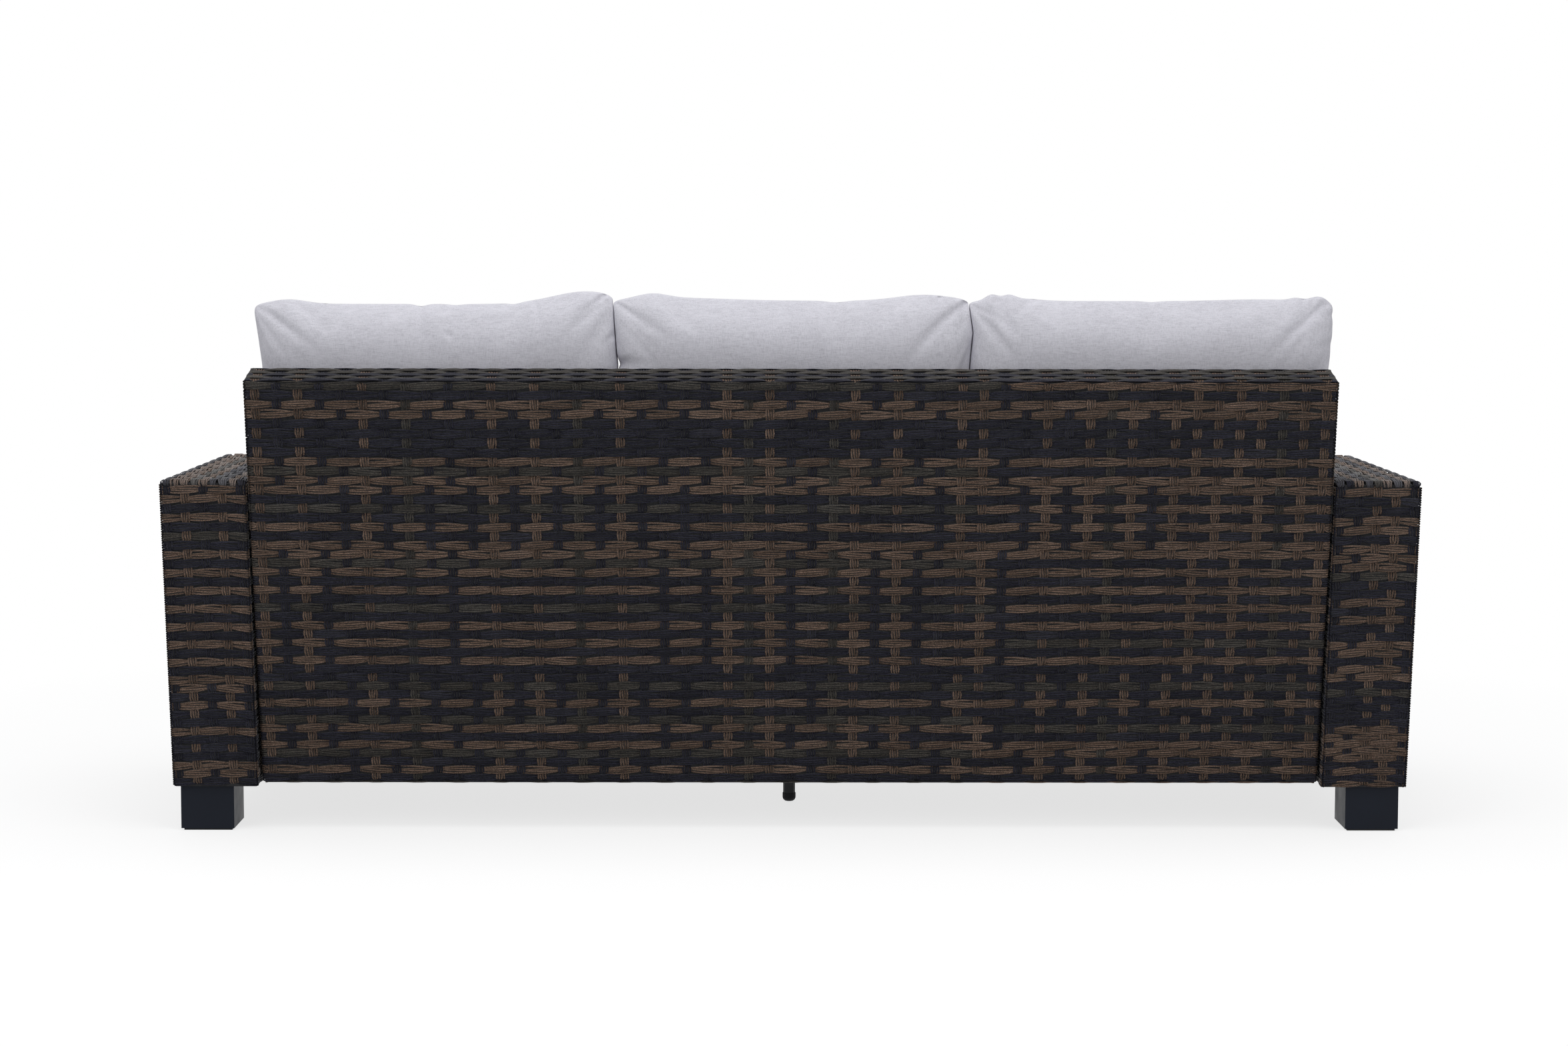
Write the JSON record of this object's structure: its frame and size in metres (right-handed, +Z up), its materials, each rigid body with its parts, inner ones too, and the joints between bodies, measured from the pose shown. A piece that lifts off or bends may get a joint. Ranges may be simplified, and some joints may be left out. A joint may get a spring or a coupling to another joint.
{
  "type": "rattan garden sofa",
  "caption": "Long woven-resin garden sofa with box arms, a leaning woven back, block feet, a centre support leg, and loose grey seat and back cushions.",
  "frame": {"origin": "on the floor, at the middle of the whole sofa's length and depth", "axes": "+X towards the sitter's left arm, +Y towards the back, +Z up"},
  "size_m": [1.95, 0.7424, 0.8431],
  "materials": {
    "rattan": "flat woven resin strands in charcoal, brown and dark olive grey",
    "powder_coat": "satin powder coat",
    "foot_black": "satin blue-black",
    "soft_plastic": "matt black",
    "zinc_steel": "bright zinc plated",
    "linen_grey": "fine linen-like outdoor weave, light grey"
  },
  "bodies": {
    "frame": {"arm_weave_left": "rattan", "arm_weave_right": "rattan", "back_weave": "rattan", "seat_deck_weave": "rattan", "front_apron_weave": "rattan", "arm_frame_left": "powder_coat", "arm_frame_right": "powder_coat", "back_frame": "powder_coat", "seat_front_rail": "powder_coat", "seat_rear_rail": "powder_coat", "seat_side_rail_left": "powder_coat", "seat_side_rail_right": "powder_coat", "seat_cross_bar_1": "powder_coat", "seat_cross_bar_2": "powder_coat", "seat_cross_bar_3": "powder_coat", "seat_cross_bar_4": "powder_coat", "seat_cross_bar_5": "powder_coat", "seat_cross_bar_6": "powder_coat", "seat_cross_bar_7": "powder_coat", "apron_lower_rail": "powder_coat", "apron_upright_1": "powder_coat", "apron_upright_2": "powder_coat", "apron_upright_3": "powder_coat", "foot_rear_left": "foot_black", "foot_rear_right": "foot_black", "foot_front_left": "foot_black", "foot_front_right": "foot_black", "glide_rear_left": "soft_plastic", "glide_rear_right": "soft_plastic", "glide_front_left": "soft_plastic", "glide_front_right": "soft_plastic", "foot_bolt_rear_left": "zinc_steel", "foot_bolt_rear_right": "zinc_steel", "foot_bolt_front_left": "zinc_steel", "foot_bolt_front_right": "zinc_steel", "centre_leg": "powder_coat", "centre_leg_cap": "soft_plastic", "leg_screw_rear": "zinc_steel", "leg_screw_front": "zinc_steel", "arm_bolt_left_1": "zinc_steel", "arm_bolt_left_2": "zinc_steel", "arm_bolt_left_3": "zinc_steel", "arm_bolt_right_1": "zinc_steel", "arm_bolt_right_2": "zinc_steel", "arm_bolt_right_3": "zinc_steel", "back_bolt_1": "zinc_steel", "back_bolt_2": "zinc_steel", "back_bolt_3": "zinc_steel", "back_bolt_4": "zinc_steel"},
    "seat_cushion_left": {"seat_cushion_left": "linen_grey"},
    "seat_cushion_middle": {"seat_cushion_middle": "linen_grey"},
    "seat_cushion_right": {"seat_cushion_right": "linen_grey"},
    "back_cushion_left": {"back_cushion_left": "linen_grey"},
    "back_cushion_middle": {"back_cushion_middle": "linen_grey"},
    "back_cushion_right": {"back_cushion_right": "linen_grey"}
  },
  "joints": [
    {"name": "seat_cushion_left_lift", "type": "slide", "parent": "frame", "child": "seat_cushion_left", "axis": [0, 0, 1], "range_m": [0, 0.45]},
    {"name": "seat_cushion_middle_lift", "type": "slide", "parent": "frame", "child": "seat_cushion_middle", "axis": [0, 0, 1], "range_m": [0, 0.45]},
    {"name": "seat_cushion_right_lift", "type": "slide", "parent": "frame", "child": "seat_cushion_right", "axis": [0, 0, 1], "range_m": [0, 0.45]},
    {"name": "back_cushion_left_lift", "type": "slide", "parent": "seat_cushion_left", "child": "back_cushion_left", "axis": [0, 0, 1], "range_m": [0, 0.45]},
    {"name": "back_cushion_middle_lift", "type": "slide", "parent": "seat_cushion_middle", "child": "back_cushion_middle", "axis": [0, 0, 1], "range_m": [0, 0.45]},
    {"name": "back_cushion_right_lift", "type": "slide", "parent": "seat_cushion_right", "child": "back_cushion_right", "axis": [0, 0, 1], "range_m": [0, 0.45]}
  ]
}
